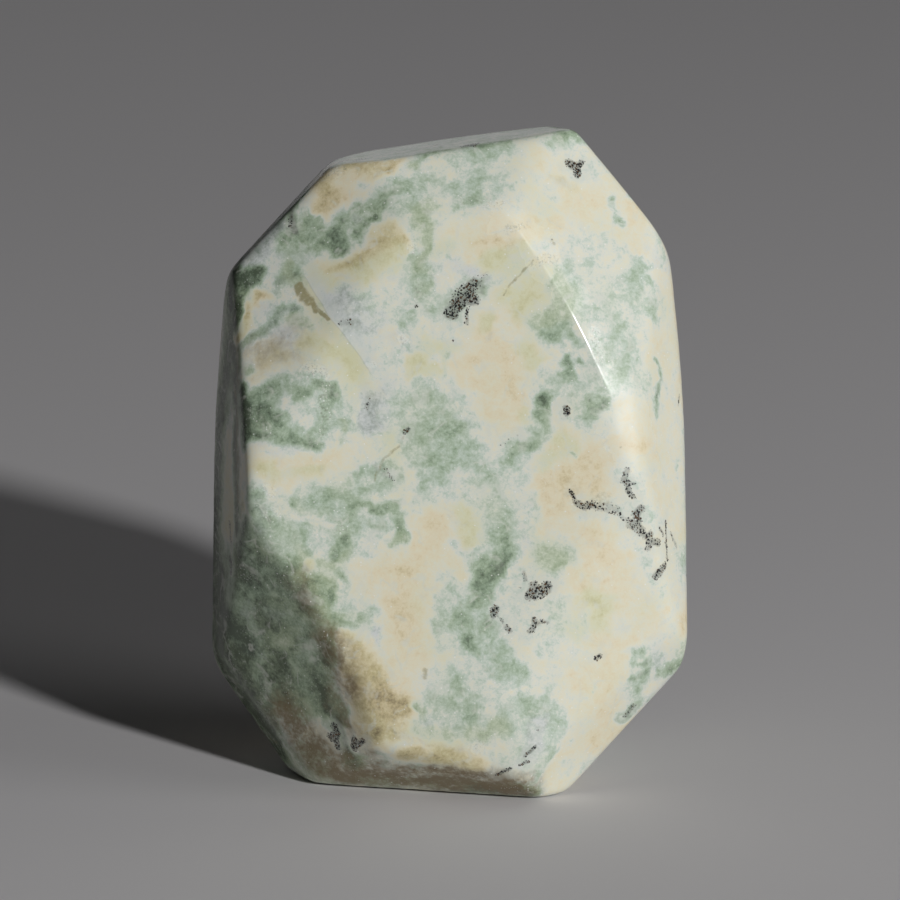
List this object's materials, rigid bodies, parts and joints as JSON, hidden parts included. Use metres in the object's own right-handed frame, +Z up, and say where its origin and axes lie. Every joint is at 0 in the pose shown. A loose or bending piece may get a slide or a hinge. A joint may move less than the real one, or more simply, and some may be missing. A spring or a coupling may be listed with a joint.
{
  "type": "polished saussurite stone",
  "caption": "Free-standing upright stone of mottled green, cream and white saussurite, polished to irregular flat facets with rounded edges.",
  "frame": {"origin": "on the ground under the middle of the stone, at the centre of the bottom of its box", "axes": "+Z up along the stone's long way, -Y towards the wide front table, +X to the right as seen from the front"},
  "size_m": [0.0288, 0.0198, 0.039],
  "materials": {
    "saussurite": "polished"
  },
  "bodies": {
    "root": {"stone": "saussurite"}
  },
  "joints": []
}
